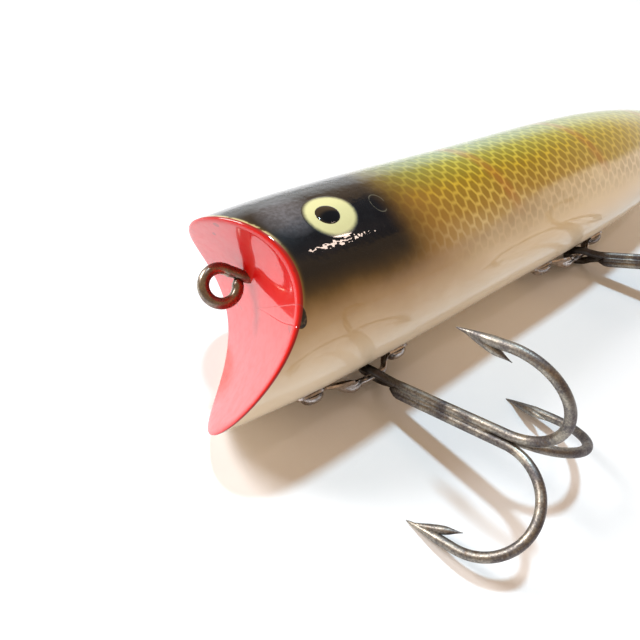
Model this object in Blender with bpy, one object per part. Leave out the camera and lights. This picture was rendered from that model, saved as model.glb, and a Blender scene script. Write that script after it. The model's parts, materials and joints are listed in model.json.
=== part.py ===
"""Topwater popper: a turned wooden body with a scooped mouth, belly hangers and three treble hooks.

Metres, +Z up.  The hard parts are modelled upright, as the lure swims: +X runs along the body from
head to tail, +Z is the back and -Y the left side.  The lure is then laid down as it lies on a table,
rolled over to its right, with its hooks resting on the table too.  The origin ends up under the
middle of the whole lure, on the table.
"""
import math

import bmesh
import bpy
import numpy as np
from mathutils import Matrix, Vector

MM = 0.001

# Driving dimensions -------------------------------------------------------------------------
# Turned body: distance along the axis from the blank's front face, and radius there.
BODY_OUTLINE = [(0, 10.2), (6, 10.72), (16, 11.10), (30, 10.77), (45, 10.17), (60, 9.69),
                (72, 8.86), (82, 7.33), (90, 5.27), (94.5, 3.7), (97, 2.5)]
BODY_SEGMENTS = 40
BODY_RINGS = 34

# Mouth: a scoop cut straight across, deepest a little above the axis, with a longer lower lip.
SCOOP_BACK = 12.44 * MM
SCOOP_CENTRE_HEIGHT = 2.66 * MM
SCOOP_SQUARE = 55.0           # set-forward per square metre of height
SCOOP_FOURTH = 46000.0        # and per metre of height to the fourth power
SCOOP_STEPS = 28

GAP = 0.3 * MM                # between pieces that rest on or pass through each other
SMALL_GAP = 0.2 * MM          # the same where a piece is only a millimetre or two across

SCREW_EYE_WIRE = 0.65 * MM    # radius of the screw eyes' wire
SCREW_EYE_RING = 1.9 * MM     # radius of the ring, to the middle of the wire
LINE_TIE_CENTRE = Vector((9.26, 0, 3.56)) * MM
LINE_TIE_SLOPE = math.radians(-12.0)
LINE_TIE_OFFSET = 0.4 * MM    # of its shank, above the middle of the ring
LINE_TIE_REACH = 16.0 * MM    # from the ring's centre to the screw's point
TAIL_RING_STANDOFF = 4.4 * MM
TAIL_SCREW_REACH = 19.0 * MM

TAIL_CUP_RADIUS = 3.2 * MM
TAIL_CUP_SHEET = 0.45 * MM

EYE_X = 19.53 * MM            # the painted eyes' place along the body
EYE_ANGLE = math.radians(57.8)  # round from the back to each side
IRIS_RADIUS = 2.84 * MM
PUPIL_RADIUS = 1.25 * MM
PUPIL_FORWARD = 0.35 * MM
IRIS_THICK = 0.22 * MM
PUPIL_THICK = 0.35 * MM

HANGER_CENTRES = {"front": 20.38 * MM, "rear": 61.18 * MM}
HANGER_HALF_LENGTH = 8.06 * MM
HANGER_SHEET = 0.5 * MM
HANGER_HUMP = 1.8 * MM        # middle of the strip above the belly, at the hump
HANGER_PAD_HALF_WIDTH = 1.65 * MM
HANGER_HUMP_HALF_WIDTH = 0.6 * MM
HANGER_SCREW_SPACING = 12.4 * MM
HOOK_EYE_BEHIND_CENTRE = 2.45 * MM

SCREW_HEAD_RADIUS = 1.25 * MM
SCREW_HEAD_HEIGHT = 1.0 * MM
SCREW_SHANK_RADIUS = 0.55 * MM
SCREW_LENGTH = 7.5 * MM
SCREW_SLOT = 0.36 * MM

# Treble hook: three wire hooks side by side round one axis.
HOOK_WIRE = 0.54 * MM         # radius of the wire
HOOK_EYE_RADIUS = 1.75 * MM   # of the eye, to the middle of the wire
HOOK_BUNDLE = 0.76 * MM       # each wire's distance from the treble's axis
HOOK_SHANK = 17.1 * MM        # from the middle of the eye to the start of the bends
HOOK_BEND_DEPTH = 5.85 * MM
HOOK_HALF_GAP = 5.6 * MM
HOOK_LEG = 5.5 * MM           # straight part that ends in the point
HOOK_LEG_FLARE = 0.12 * MM
HOOK_SINGLE_START = 4.2 * MM  # where the brazed single hook's wire begins
HOOK_SINGLE_ARM = 1           # of arms 0 to 2; the other two are the double hook
HOOK_BARB_START = 0.8 * MM    # from the point to where the barb leaves the wire
HOOK_BARB_NOTCH = 3.9 * MM    # from the point to the bottom of the cut behind the barb
HOOK_BARB_TIP = 5.2 * MM      # from the point to the barb's tip
HOOK_BARB_RISE = 1.65 * MM    # of the barb's tip from the middle of the wire
WIRE_SIDES = 8

# How the lure lies: rolled to its right, tail slightly lower; each hook's heading on the table.
LIE_ROLL = math.radians(-48.26)
LIE_PITCH = math.radians(2.11)
HOOK_HEADING = {"front": math.radians(-76.8), "rear": math.radians(-62.0),
                "tail": math.radians(-11.0)}
TAIL_HOOK_RING_ANGLE = math.radians(-13.0)

MATERIALS = {
    "body_paint": ((0.56, 0.45, 0.22), 0.12, 0.0),
    "wire_bronze": ((0.10, 0.07, 0.05), 0.38, 0.9),
    "hanger_nickel": ((0.42, 0.38, 0.34), 0.35, 1.0),
    "screw_steel": ((0.34, 0.30, 0.27), 0.35, 1.0),
    "hook_steel": ((0.14, 0.11, 0.08), 0.42, 0.95),
    "iris_enamel": ((0.86, 0.83, 0.60), 0.15, 0.0),
    "pupil_enamel": ((0.01, 0.01, 0.01), 0.05, 0.0),
}


# Shapes -------------------------------------------------------------------------------------
def new_object(name, mesh, material=None, parent=None):
    """Adds an object with its material, child of parent."""
    obj = bpy.data.objects.new(name, mesh)
    bpy.context.scene.collection.objects.link(obj)
    obj.parent = parent
    if material:
        mesh.materials.append(bpy.data.materials[material])
    return obj


def mesh_from(bm, name, sharp_degrees=40):
    """Turns a bmesh into a mesh with outward faces and smooth shading up to the sharp angle."""
    bmesh.ops.remove_doubles(bm, verts=bm.verts, dist=1e-7)
    bmesh.ops.recalc_face_normals(bm, faces=bm.faces)
    mesh = bpy.data.meshes.new(name)
    bm.to_mesh(mesh)
    bm.free()
    mesh.shade_smooth()
    mesh.set_sharp_from_angle(angle=math.radians(sharp_degrees))
    return mesh


def smooth_points(points, per_span):
    """Points along a Catmull-Rom curve through the given ones."""
    pts = [np.array(p, float) for p in points]
    pts = [2 * pts[0] - pts[1]] + pts + [2 * pts[-1] - pts[-2]]
    out = []
    for a, b, c, d in zip(pts, pts[1:], pts[2:], pts[3:]):
        for k in range(per_span):
            t = k / per_span
            out.append(0.5 * (2 * b + (c - a) * t + (2 * a - 5 * b + 4 * c - d) * t ** 2
                              + (3 * b - a - 3 * c + d) * t ** 3))
    return out + [pts[-2]]


BODY_CURVE = np.array(smooth_points(BODY_OUTLINE, 12)) * MM
BODY_END = BODY_CURVE[-1][0]


def body_radius(x):
    """Radius of the turned body at x."""
    return float(np.interp(x, BODY_CURVE[:, 0], BODY_CURVE[:, 1]))


def belly_slope(x):
    """How fast the radius changes along the body."""
    return (body_radius(x + MM) - body_radius(x - MM)) / (2 * MM)


def turned(name, outline, segments):
    """Mesh turned about the X axis from (x, radius) points that begin and end on the axis."""
    bm = bmesh.new()
    verts = [bm.verts.new((x, 0, r)) for x, r in outline]
    edges = [bm.edges.new(pair) for pair in zip(verts, verts[1:])]
    bmesh.ops.spin(bm, geom=verts + edges, cent=(0, 0, 0), axis=(1, 0, 0),
                   angle=2 * math.pi, steps=segments, use_merge=True)
    return mesh_from(bm, name)


def loft(name, rings, sharp_degrees=40):
    """Mesh that joins rings of points, with its first and last ring filled."""
    bm = bmesh.new()
    loops = [[bm.verts.new(p) for p in ring] for ring in rings]
    for lower, upper in zip(loops, loops[1:]):
        count = len(lower)
        for i in range(count):
            j = (i + 1) % count
            bm.faces.new((lower[i], lower[j], upper[j], upper[i]))
    bm.faces.new(loops[0])
    bm.faces.new(loops[-1])
    return mesh_from(bm, name, sharp_degrees)


def wire(name, points, radii, barbs=(), shift=Vector()):
    """Round wire swept along points; barbs are (ring, direction, place) of vertices pulled out of it."""
    pts = [Vector(p) for p in points]
    side = None
    rings = []
    for i, point in enumerate(pts):
        ahead = (pts[min(i + 1, len(pts) - 1)] - pts[max(i - 1, 0)]).normalized()
        if side is None:
            side = ahead.orthogonal().normalized()
        side = (side - ahead * side.dot(ahead)).normalized()
        other = ahead.cross(side)
        ring = []
        for k in range(WIRE_SIDES):
            turn = 2 * math.pi * k / WIRE_SIDES
            ring.append(point + (side * math.cos(turn) + other * math.sin(turn)) * radii[i])
        for index, direction, place in barbs:
            if index == i:
                outer = max(range(WIRE_SIDES), key=lambda k: (ring[k] - point).dot(direction))
                ring[outer] = place + shift
        rings.append(ring)
    return loft(name, rings, 60)


def cylinder_between(name, start, end, radius, segments=16):
    """Closed cylinder from start to end."""
    start, end = Vector(start), Vector(end)
    axis = (end - start).normalized()
    side = axis.orthogonal().normalized()
    other = axis.cross(side)
    rings = []
    for centre in (start, end):
        rings.append([centre + (side * math.cos(a) + other * math.sin(a)) * radius
                      for a in np.arange(segments) * 2 * math.pi / segments])
    return loft(name, rings)


def cut(target, mesh, parent):
    """Cuts a mesh out of the target with a Boolean modifier; the cutter stays as a hidden guide."""
    cutter = new_object("cut_" + mesh.name, mesh, parent=parent)
    cutter.hide_render = True
    cutter.display_type = 'WIRE'
    modifier = target.modifiers.new(mesh.name, 'BOOLEAN')
    modifier.operation = 'DIFFERENCE'
    modifier.solver = 'EXACT'
    modifier.object = cutter


# Body ---------------------------------------------------------------------------------------
def scoop_x(height):
    """Where the scooped mouth lies along the body at a height above the axis."""
    rise = height - SCOOP_CENTRE_HEIGHT
    return SCOOP_BACK - SCOOP_SQUARE * rise ** 2 - SCOOP_FOURTH * rise ** 4


def scoop_cutter():
    """Everything in front of the mouth, straight across the body."""
    reach = 14 * MM
    heights = np.linspace(-reach, reach, SCOOP_STEPS)
    outline = [(scoop_x(h), h) for h in heights]
    front = min(x for x, _ in outline) - 6 * MM
    outline += [(front, reach), (front, -reach)]
    rings = [[(x, y, z) for x, z in outline] for y in (-reach, reach)]
    return loft("mouth_scoop", rings)


def make_body(lure):
    xs = np.linspace(0, BODY_END, BODY_RINGS)
    outline = [(x, body_radius(x)) for x in xs]
    outline = [(0, 0)] + outline + [(BODY_END, 0)]
    body = new_object("body", turned("body", outline, BODY_SEGMENTS), "body_paint", lure)
    cut(body, scoop_cutter(), lure)
    along = line_tie_direction()
    hole = SCREW_EYE_WIRE + GAP
    shank = LINE_TIE_CENTRE + upward(along) * LINE_TIE_OFFSET
    cut(body, cylinder_between("line_tie_hole", shank + along * SCREW_EYE_RING,
                               shank + along * (LINE_TIE_REACH + GAP), hole), lure)
    ring_x = tail_ring_centre().x
    cut(body, cylinder_between("tail_hole", (ring_x, 0, 0),
                               (ring_x - TAIL_SCREW_REACH - GAP, 0, 0), hole), lure)
    for end, centre in HANGER_CENTRES.items():
        for side in (-1, 1):
            point, inward = screw_seat(centre, side)
            start = point - inward * 3 * MM
            stop = point + inward * (SCREW_LENGTH + GAP)
            name = "%s_screw_hole_%d" % (end, side)
            cut(body, cylinder_between(name, start, stop, SCREW_SHANK_RADIUS + GAP, 12), lure)
        centre_point, strip = hinge_line(end)
        half = strip * (HOOK_EYE_RADIUS + GAP)
        radius = HOOK_EYE_RADIUS + HOOK_WIRE + SMALL_GAP
        cut(body, cylinder_between(end + "_hook_relief", centre_point - half,
                                   centre_point + half, radius, 24), lure)
    return body


# Line tie and tail screw eye ----------------------------------------------------------------
def line_tie_direction():
    return Vector((math.cos(LINE_TIE_SLOPE), 0, math.sin(LINE_TIE_SLOPE)))


def tail_ring_centre():
    return Vector((BODY_END + TAIL_RING_STANDOFF, 0, 0))


def upward(along):
    """The way towards the lure's back, square to a screw eye's shank."""
    return Vector((-along.z, 0, abs(along.x)))


def screw_eye(name, centre, along, reach, offset, lure):
    """Wire ring whose end closes on its own neck, with a pointed shank along the given direction."""
    across = upward(along)
    first, last = math.radians(-31), math.radians(50)
    turns = np.linspace(first, last - 2 * math.pi, 30)
    path = [(SCREW_EYE_RING * math.cos(a), SCREW_EYE_RING * math.sin(a)) for a in turns]
    path += [(1.9 * MM, 0.78 * MM + 0.55 * offset), (2.5 * MM, 0.25 * MM + 0.85 * offset),
             (3.1 * MM, 0.03 * MM + offset)]
    path += [(u, offset) for u in np.linspace(3.7 * MM, reach - 3 * MM, 4)] + [(reach, offset)]
    points = [centre + along * u + across * s for u, s in path]
    radii = [SCREW_EYE_WIRE] * (len(points) - 1) + [0.08 * MM]
    return new_object(name, wire(name, points, radii), "wire_bronze", lure)


def make_tail_cup(lure):
    """Pressed washer that the tail screw eye holds against the end of the body."""
    hole = SCREW_EYE_WIRE + GAP
    face = BODY_END + GAP
    radius = TAIL_CUP_RADIUS
    sheet = TAIL_CUP_SHEET
    lip = 1.1 * MM
    section = [(face, hole), (face, radius - sheet - 0.1 * MM), (face - lip, radius + 0.35 * MM),
               (face - lip, radius + sheet + 0.35 * MM), (face + 0.6 * sheet, radius),
               (face + sheet, radius - 0.3 * MM), (face + sheet, hole)]
    bm = bmesh.new()
    verts = [bm.verts.new((x, 0, r)) for x, r in section]
    edges = [bm.edges.new(pair) for pair in zip(verts, verts[1:] + verts[:1])]
    bmesh.ops.spin(bm, geom=verts + edges, cent=(0, 0, 0), axis=(1, 0, 0),
                   angle=2 * math.pi, steps=24, use_merge=True)
    new_object("tail_cup", mesh_from(bm, "tail_cup"), "hanger_nickel", lure)


# Painted eyes -------------------------------------------------------------------------------
def enamel_spot(name, side, radius, forward, inner, outer, material, lure):
    """Round drop of enamel that follows the body, from the inner to the outer height above it."""
    circle = 20
    rings = []
    shape = [(0.0, inner), (0.55, inner), (1.0, inner), (1.0, inner + 0.4 * (outer - inner)),
             (0.8, outer - 0.1 * (outer - inner)), (0.4, outer)]
    for share, lift in shape[1:]:
        ring = []
        for k in range(circle):
            turn = 2 * math.pi * k / circle
            x = EYE_X - forward + radius * share * math.cos(turn)
            span = radius * share * math.sin(turn) / body_radius(EYE_X)
            angle = EYE_ANGLE + span
            r = body_radius(x) + lift
            ring.append((x, side * r * math.sin(angle), r * math.cos(angle)))
        rings.append(ring)
    return new_object(name, loft(name, rings), material, lure)


def make_eyes(lure):
    for label, side in (("left", -1), ("right", 1)):
        iris_top = SMALL_GAP + IRIS_THICK
        enamel_spot("eye_iris_" + label, side, IRIS_RADIUS, 0, SMALL_GAP, iris_top,
                    "iris_enamel", lure)
        base = iris_top + SMALL_GAP
        enamel_spot("eye_pupil_" + label, side, PUPIL_RADIUS, PUPIL_FORWARD, base,
                    base + PUPIL_THICK, "pupil_enamel", lure)


# Hangers and their screws -------------------------------------------------------------------
def belly_point(x, offset):
    """Point below the belly line, offset out from the body."""
    return Vector((x, 0, -(body_radius(x) + offset)))


def hinge_line(end):
    """Middle of the hook's eye on the hanger's hump, and the hump's direction."""
    x = HANGER_CENTRES[end] + HOOK_EYE_BEHIND_CENTRE
    return belly_point(x, HANGER_HUMP), Vector((1, 0, -belly_slope(x))).normalized()


def screw_seat(centre, side):
    """Point on the belly under a hanger screw, and the direction into the wood."""
    x = centre + side * HANGER_SCREW_SPACING / 2
    return belly_point(x, 0), Vector((belly_slope(x), 0, 1)).normalized()


def ease(value, start, stop):
    """Smooth step from 0 at start to 1 at stop."""
    t = min(max((value - start) / (stop - start), 0), 1)
    return t * t * (3 - 2 * t)


def make_hanger(end, lure):
    """Strip with two oval pads that lie on the belly and a narrow hump that the hook's eye rides on."""
    pad = GAP + HANGER_SHEET / 2
    centre = HANGER_CENTRES[end]
    rings = []
    for s in np.concatenate([np.linspace(-1, -0.52, 8), np.linspace(-0.44, -0.04, 6),
                             [0.2, 0.42], np.linspace(0.48, 0.6, 4), np.linspace(0.66, 1, 7)]):
        hump = ease(s, -0.56, -0.1) * (1 - ease(s, 0.46, 0.62))
        offset = pad + (HANGER_HUMP - pad) * hump
        to_pad_middle = (abs(s) - 0.77) / 0.23
        oval = math.sqrt(max(1 - to_pad_middle ** 2, 0.06))
        half = max(HANGER_PAD_HALF_WIDTH * oval if abs(s) > 0.54 else 0, HANGER_HUMP_HALF_WIDTH)
        if abs(s) > 0.77:
            half = HANGER_PAD_HALF_WIDTH * oval
        x = centre + s * HANGER_HALF_LENGTH
        thin = HANGER_SHEET / 2
        corner = 0.12 * MM
        ring = []
        for y, z in ((half, thin - corner), (half - corner, thin), (corner - half, thin),
                     (-half, thin - corner), (-half, corner - thin), (corner - half, -thin),
                     (half - corner, -thin), (half, corner - thin)):
            middle = belly_point(x, offset)
            ring.append(middle + Vector((0, y, z)))
        rings.append(ring)
    hanger = new_object(end + "_hanger", loft(end + "_hanger", rings), "hanger_nickel", lure)
    for side in (-1, 1):
        point, inward = screw_seat(centre, side)
        name = "%s_pad_hole_%d" % (end, side)
        cut(hanger, cylinder_between(name, point - inward * 3 * MM, point + inward * 3 * MM,
                                     SCREW_SHANK_RADIUS + SMALL_GAP, 12), lure)
    return hanger


def make_hanger_screws(end, lure):
    for side, label in ((-1, "fore"), (1, "aft")):
        name = "%s_hanger_screw_%s" % (end, label)
        point, inward = screw_seat(HANGER_CENTRES[end], side)
        under_head = GAP + HANGER_SHEET + SMALL_GAP
        dome = [(-SCREW_HEAD_HEIGHT * math.sin(a), SCREW_HEAD_RADIUS * math.cos(a))
                for a in np.linspace(math.pi / 2, 0, 6)]
        shank = [(0, SCREW_SHANK_RADIUS), (SCREW_LENGTH - 2.5 * MM, SCREW_SHANK_RADIUS),
                 (SCREW_LENGTH, 0)]
        dome[0] = (dome[0][0], 0)
        screw = new_object(name, turned(name, dome + shank, 14), "screw_steel", lure)
        screw.location = point - inward * under_head
        screw.rotation_euler = Vector((1, 0, 0)).rotation_difference(inward).to_euler()
        depth = 0.45 * SCREW_HEAD_HEIGHT
        bm = bmesh.new()
        bmesh.ops.create_cube(bm, size=1)
        bmesh.ops.scale(bm, verts=bm.verts, vec=(2 * depth, SCREW_SLOT, 4 * SCREW_HEAD_RADIUS))
        turn = Matrix.Rotation(math.radians(35 if side < 0 else -20), 4, 'X')
        bmesh.ops.transform(bm, verts=bm.verts,
                            matrix=turn @ Matrix.Translation((-SCREW_HEAD_HEIGHT, 0, 0)))
        cut(screw, mesh_from(bm, name + "_slot"), screw)


# Treble hooks -------------------------------------------------------------------------------
def arm_side(arm):
    """Direction in which an arm bends away: the first straight up, the others 120 degrees round."""
    angle = math.radians(90 + 120 * arm)
    return Vector((0, math.cos(angle), math.sin(angle)))


def hook_curve(arm, start):
    """One arm's wire from its start along the shank, round the bend and back to the point."""
    far = HOOK_BUNDLE + 2 * HOOK_HALF_GAP
    outline = [(u, HOOK_BUNDLE, 1.0) for u in np.linspace(start, HOOK_SHANK, 6)]
    for q in np.linspace(0, math.pi, 15)[1:]:
        outline.append((HOOK_SHANK + HOOK_BEND_DEPTH * math.sin(q),
                        HOOK_BUNDLE + HOOK_HALF_GAP * (1 - math.cos(q)), 1.0))
    point = HOOK_SHANK - HOOK_LEG
    for back, girth in ((HOOK_BARB_NOTCH + 0.12 * MM, 1.0), (HOOK_BARB_NOTCH, 1.0),
                        (0.62 * HOOK_BARB_NOTCH, 0.8), (HOOK_BARB_START, 0.42), (0, 0.05)):
        flare = HOOK_LEG_FLARE * (1 - back / HOOK_LEG) ** 1.5
        outline.append((point + back, far + flare, girth))
    side = arm_side(arm)
    points = [Vector((u, 0, 0)) + side * v for u, v, _ in outline]
    return points, [HOOK_WIRE * girth for _, _, girth in outline]


def barb_pulls(points, arm, rings):
    """Places for the inner vertex of two of the arm's rings, which stretch the wire into a barb."""
    inward = -arm_side(arm)
    tip = points[-1] + Vector((HOOK_BARB_TIP, 0, 0)) + inward * HOOK_BARB_RISE
    root = points[-2] + inward * 0.42 * HOOK_WIRE
    share = (points[-3].x - root.x) / (tip.x - root.x)
    return [(ring, inward, place) for ring, place in zip(rings, (root.lerp(tip, share), tip))]


def eye_loop(first_arm, second_arm):
    """Wire of the eye, from the first arm's shank round the loop to the second arm's shank."""
    a, b = arm_side(first_arm), arm_side(second_arm)
    middle = (a + b) / 2 * HOOK_BUNDLE
    across = (a - b).normalized()
    beside = HOOK_BUNDLE * math.sqrt(3) / 2
    leave = math.radians(42)
    plane = [(3.4 * MM, beside), (2.5 * MM, beside + 0.04 * MM), (1.85 * MM, beside + 0.22 * MM)]
    turns = np.linspace(leave, 2 * math.pi - leave, 19)
    plane += [(HOOK_EYE_RADIUS * math.cos(t), HOOK_EYE_RADIUS * math.sin(t)) for t in turns]
    plane += [(u, -s) for u, s in plane[2::-1]]
    return [middle + Vector((u, 0, 0)) + across * s for u, s in plane]


def treble_meshes(name):
    """The double hook, whose wire forms the eye, and the single hook brazed along its shank."""
    first, second = [arm for arm in range(3) if arm != HOOK_SINGLE_ARM]
    one, radii_one = hook_curve(first, HOOK_SINGLE_START)
    two, radii_two = hook_curve(second, HOOK_SINGLE_START)
    loop = eye_loop(first, second)
    points = one[::-1] + loop + two
    radii = radii_one[::-1] + [HOOK_WIRE] * len(loop) + radii_two
    last = len(points) - 1
    barbs = barb_pulls(one, first, range(2, 4))
    barbs += barb_pulls(two, second, range(last - 2, last - 4, -1))
    centre = (arm_side(first) + arm_side(second)) / 2 * HOOK_BUNDLE
    double = wire(name + "_double", [p - centre for p in points], radii, barbs, -centre)
    points, radii = hook_curve(HOOK_SINGLE_ARM, HOOK_SINGLE_START)
    last = len(points) - 1
    barbs = barb_pulls(points, HOOK_SINGLE_ARM, range(last - 2, last - 4, -1))
    radii[0] = 0.6 * HOOK_WIRE
    return double, wire(name + "_single", [p - centre for p in points], radii, barbs, -centre)


def hook_frame(heading, rise):
    """Rotation that points a hook's shank along a heading on the table, rising by an angle."""
    return Matrix.Rotation(heading, 4, 'Z') @ Matrix.Rotation(-rise, 4, 'Y')


def resting_rise(meshes, eye_height, heading):
    """Angle at which the hook's shank rises when its lowest part touches the table."""
    points = [v.co.copy() for mesh in meshes for v in mesh.vertices if v.co.x > HOOK_SHANK / 2]
    low, high = math.radians(-40), math.radians(40)
    for _ in range(40):
        rise = (low + high) / 2
        frame = hook_frame(heading, rise)
        lowest = eye_height + min((frame @ p).z for p in points)
        if lowest > 0:
            high = rise
        else:
            low = rise
    return (low + high) / 2


def make_treble(end, eye, pivot, table):
    """Treble with its eye at one point and its parent empty on the joint's pivot."""
    name = end + "_treble"
    meshes = treble_meshes(name)
    heading = HOOK_HEADING[end]
    frame = hook_frame(heading, resting_rise(meshes, eye.z, heading))
    holder = new_empty(name + "_pivot", table, Matrix.Translation(pivot) @ frame)
    for mesh in meshes:
        obj = new_object(mesh.name, mesh, "hook_steel", holder)
        obj.location = frame.inverted() @ (eye - pivot)


# Assembly -----------------------------------------------------------------------------------
def new_empty(name, parent, matrix):
    empty = bpy.data.objects.new(name, None)
    bpy.context.scene.collection.objects.link(empty)
    empty.empty_display_size = 5 * MM
    empty.parent = parent
    empty.matrix_local = matrix
    return empty


def make_materials():
    for name, (colour, roughness, metallic) in MATERIALS.items():
        material = bpy.data.materials.new(name)
        material.use_nodes = True
        shader = material.node_tree.nodes["Principled BSDF"]
        shader.inputs["Base Color"].default_value = (*colour, 1)
        shader.inputs["Roughness"].default_value = roughness
        shader.inputs["Metallic"].default_value = metallic
        material.diffuse_color = (*colour, 1)


def lying_frame():
    """Upright lure to lying lure: rolled, pitched and lifted until the body touches the table."""
    turn = Matrix.Rotation(LIE_PITCH, 4, 'Y') @ Matrix.Rotation(LIE_ROLL, 4, 'X')
    lowest = min((turn @ Vector((x, 0, 0))).z - r * math.cos(LIE_PITCH) for x, r in BODY_CURVE)
    return Matrix.Translation((0, 0, -lowest)) @ turn


def centre_on_table(table):
    """Moves everything so that the origin is under the middle of the lure, at table height."""
    bpy.context.view_layer.update()
    depsgraph = bpy.context.evaluated_depsgraph_get()
    corners = []
    for obj in bpy.data.objects:
        if obj.type != 'MESH' or obj.hide_render:
            continue
        evaluated = obj.evaluated_get(depsgraph)
        mesh = evaluated.to_mesh()
        corners += [evaluated.matrix_world @ v.co for v in mesh.vertices]
        evaluated.to_mesh_clear()
    points = np.array(corners)
    low, high = points.min(axis=0), points.max(axis=0)
    table.location = (-(low[0] + high[0]) / 2, -(low[1] + high[1]) / 2, -low[2])


def main():
    for obj in list(bpy.data.objects):
        bpy.data.objects.remove(obj, do_unlink=True)
    make_materials()
    table = new_empty("table", None, Matrix.Identity(4))
    lie = lying_frame()
    lure = new_empty("lure", table, lie)
    make_body(lure)
    screw_eye("line_tie_screw_eye", LINE_TIE_CENTRE, line_tie_direction(), LINE_TIE_REACH,
              LINE_TIE_OFFSET, lure)
    screw_eye("tail_screw_eye", tail_ring_centre(), Vector((-1, 0, 0)), TAIL_SCREW_REACH, 0, lure)
    make_tail_cup(lure)
    make_eyes(lure)
    for end in HANGER_CENTRES:
        make_hanger(end, lure)
        make_hanger_screws(end, lure)
        eye = lie @ hinge_line(end)[0]
        make_treble(end, eye, eye, table)
    ring = tail_ring_centre()
    toward_hook = Vector((math.cos(TAIL_HOOK_RING_ANGLE), 0, math.sin(TAIL_HOOK_RING_ANGLE)))
    make_treble("tail", lie @ (ring + toward_hook * SCREW_EYE_RING), lie @ ring, table)
    centre_on_table(table)
    bpy.context.view_layer.update()


main()
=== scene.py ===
"""Looks of the topwater popper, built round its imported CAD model.

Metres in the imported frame, +Z up; sizes in this script are written in millimetres times MM.
Parts of the lure are modelled upright, as it swims: +X runs along the body from head to tail,
+Z is the back and -Y the left side.  LURE places that frame on the table.  Each treble has its
own frame, with +X down its shank.
"""

import json
import math

import bmesh
import bpy
import numpy as np
from mathutils import Euler, Matrix, Vector


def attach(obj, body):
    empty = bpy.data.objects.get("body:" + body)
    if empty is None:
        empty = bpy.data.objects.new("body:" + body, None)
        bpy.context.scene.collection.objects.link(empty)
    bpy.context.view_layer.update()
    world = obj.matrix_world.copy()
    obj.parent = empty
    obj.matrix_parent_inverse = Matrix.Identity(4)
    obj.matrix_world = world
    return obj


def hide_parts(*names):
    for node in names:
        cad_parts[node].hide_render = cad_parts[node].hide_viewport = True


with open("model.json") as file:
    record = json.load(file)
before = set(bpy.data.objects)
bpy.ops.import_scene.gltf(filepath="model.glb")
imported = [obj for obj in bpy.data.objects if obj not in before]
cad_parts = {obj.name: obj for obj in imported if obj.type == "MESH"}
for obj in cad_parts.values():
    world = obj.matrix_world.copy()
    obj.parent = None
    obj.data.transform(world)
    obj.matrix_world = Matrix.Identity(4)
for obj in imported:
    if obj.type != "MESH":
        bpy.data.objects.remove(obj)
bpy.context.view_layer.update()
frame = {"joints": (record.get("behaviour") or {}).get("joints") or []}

MM = 0.001
JOINTS = {joint["name"]: joint for joint in frame["joints"]}

# Sizes of the CAD model, from part.py -------------------------------------------------------
# The body's outline: millimetres along it and its radius there.
BODY_OUTLINE = [(0, 10.2), (6, 10.72), (16, 11.10), (30, 10.77), (45, 10.17), (60, 9.69),
                (72, 8.86), (82, 7.33), (90, 5.27), (94.5, 3.7), (97, 2.5)]
SCOOP_BACK = 12.44 * MM       # deepest line of the mouth, and its height above the middle
SCOOP_CENTRE_HEIGHT = 2.66 * MM
SCOOP_SQUARE = 55.0           # how it curves forward with the height's square and fourth power
SCOOP_FOURTH = 46000.0
SCREW_EYE_WIRE = 0.65 * MM
SCREW_EYE_RING = 1.9 * MM
LINE_TIE_CENTRE = Vector((9.26, 0, 3.56)) * MM
LINE_TIE_SLOPE = math.radians(-12.0)
LINE_TIE_OFFSET = 0.4 * MM    # of the shank from the ring's middle
LINE_TIE_REACH = 16.0 * MM    # of the shank's end from there
TAIL_RING_STANDOFF = 4.4 * MM
TAIL_SCREW_REACH = 19.0 * MM
TAIL_CUP_RADIUS = 3.2 * MM
EYE_X = 19.53 * MM
EYE_ANGLE = math.radians(57.8)  # round from the back
IRIS_RADIUS = 2.84 * MM
PUPIL_RADIUS = 1.25 * MM
PUPIL_FORWARD = 0.35 * MM     # of the pupil's middle from the iris's, towards the mouth
HANGER_CENTRES = {"front": 20.38 * MM, "rear": 61.18 * MM}
HANGER_HALF_LENGTH = 8.06 * MM
HANGER_HUMP = 1.8 * MM        # from the belly to the middle of the hook's eye
HANGER_SCREW_SPACING = 12.4 * MM
HOOK_EYE_BEHIND_CENTRE = 2.45 * MM
SCREW_HEAD_HEIGHT = 1.0 * MM
HOOK_WIRE = 0.54 * MM
HOOK_EYE_RADIUS = 1.75 * MM
HOOK_BUNDLE = 0.76 * MM       # from the shank's middle line to each of its wires
HOOK_SHANK = 17.1 * MM
HOOK_BEND_DEPTH = 5.85 * MM
HOOK_HALF_GAP = 5.6 * MM
HOOK_LEG = 5.5 * MM
HOOK_LEG_FLARE = 0.12 * MM    # of the point, away from the shank
HOOK_HEADING = {"front": math.radians(-76.8), "rear": math.radians(-62.0),
                "tail": math.radians(-11.0)}
TAIL_HOOK_RING_ANGLE = math.radians(-13.0)  # where on the ring the hook's eye hangs
HOOK_SINGLE_ARM = 1           # of arms 0, 1 and 2, the one that is brazed on

# Sizes that only the looks use --------------------------------------------------------------
EYE_LIFT = 0.15 * MM          # of the painted eyes towards the back, from the CAD model's
RIM_SKIN = 0.55 * MM          # how far the rounding of the mouth's edge reaches along the skin
RIM_MOUTH = 0.75 * MM         # and into the mouth
RELIEF_RADIUS = 2.49 * MM     # hollow under each hanger's hump
RELIEF_HALF_LENGTH = 2.05 * MM
SHEET = 0.4 * MM              # hanger's sheet metal
PAD_MIDDLE = 0.77             # of the hanger's half length, from its middle
PAD_REACH = 0.23              # half the pad's length, of the hanger's half length
PAD_HALF_WIDTH = 1.65 * MM
NECK_HALF_WIDTH = 0.62 * MM   # next to the pads
BELLY_RADIUS = 11 * MM        # to which the whole strip is bent across
EDGE_DEPTH = 1.45 * MM        # from the belly to the edges of the hanger's hump
CHANNEL_RADIUS = 0.42 * MM    # the hump is pressed into a channel
CHANNEL_HALF_WIDTH = 0.78 * MM
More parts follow.
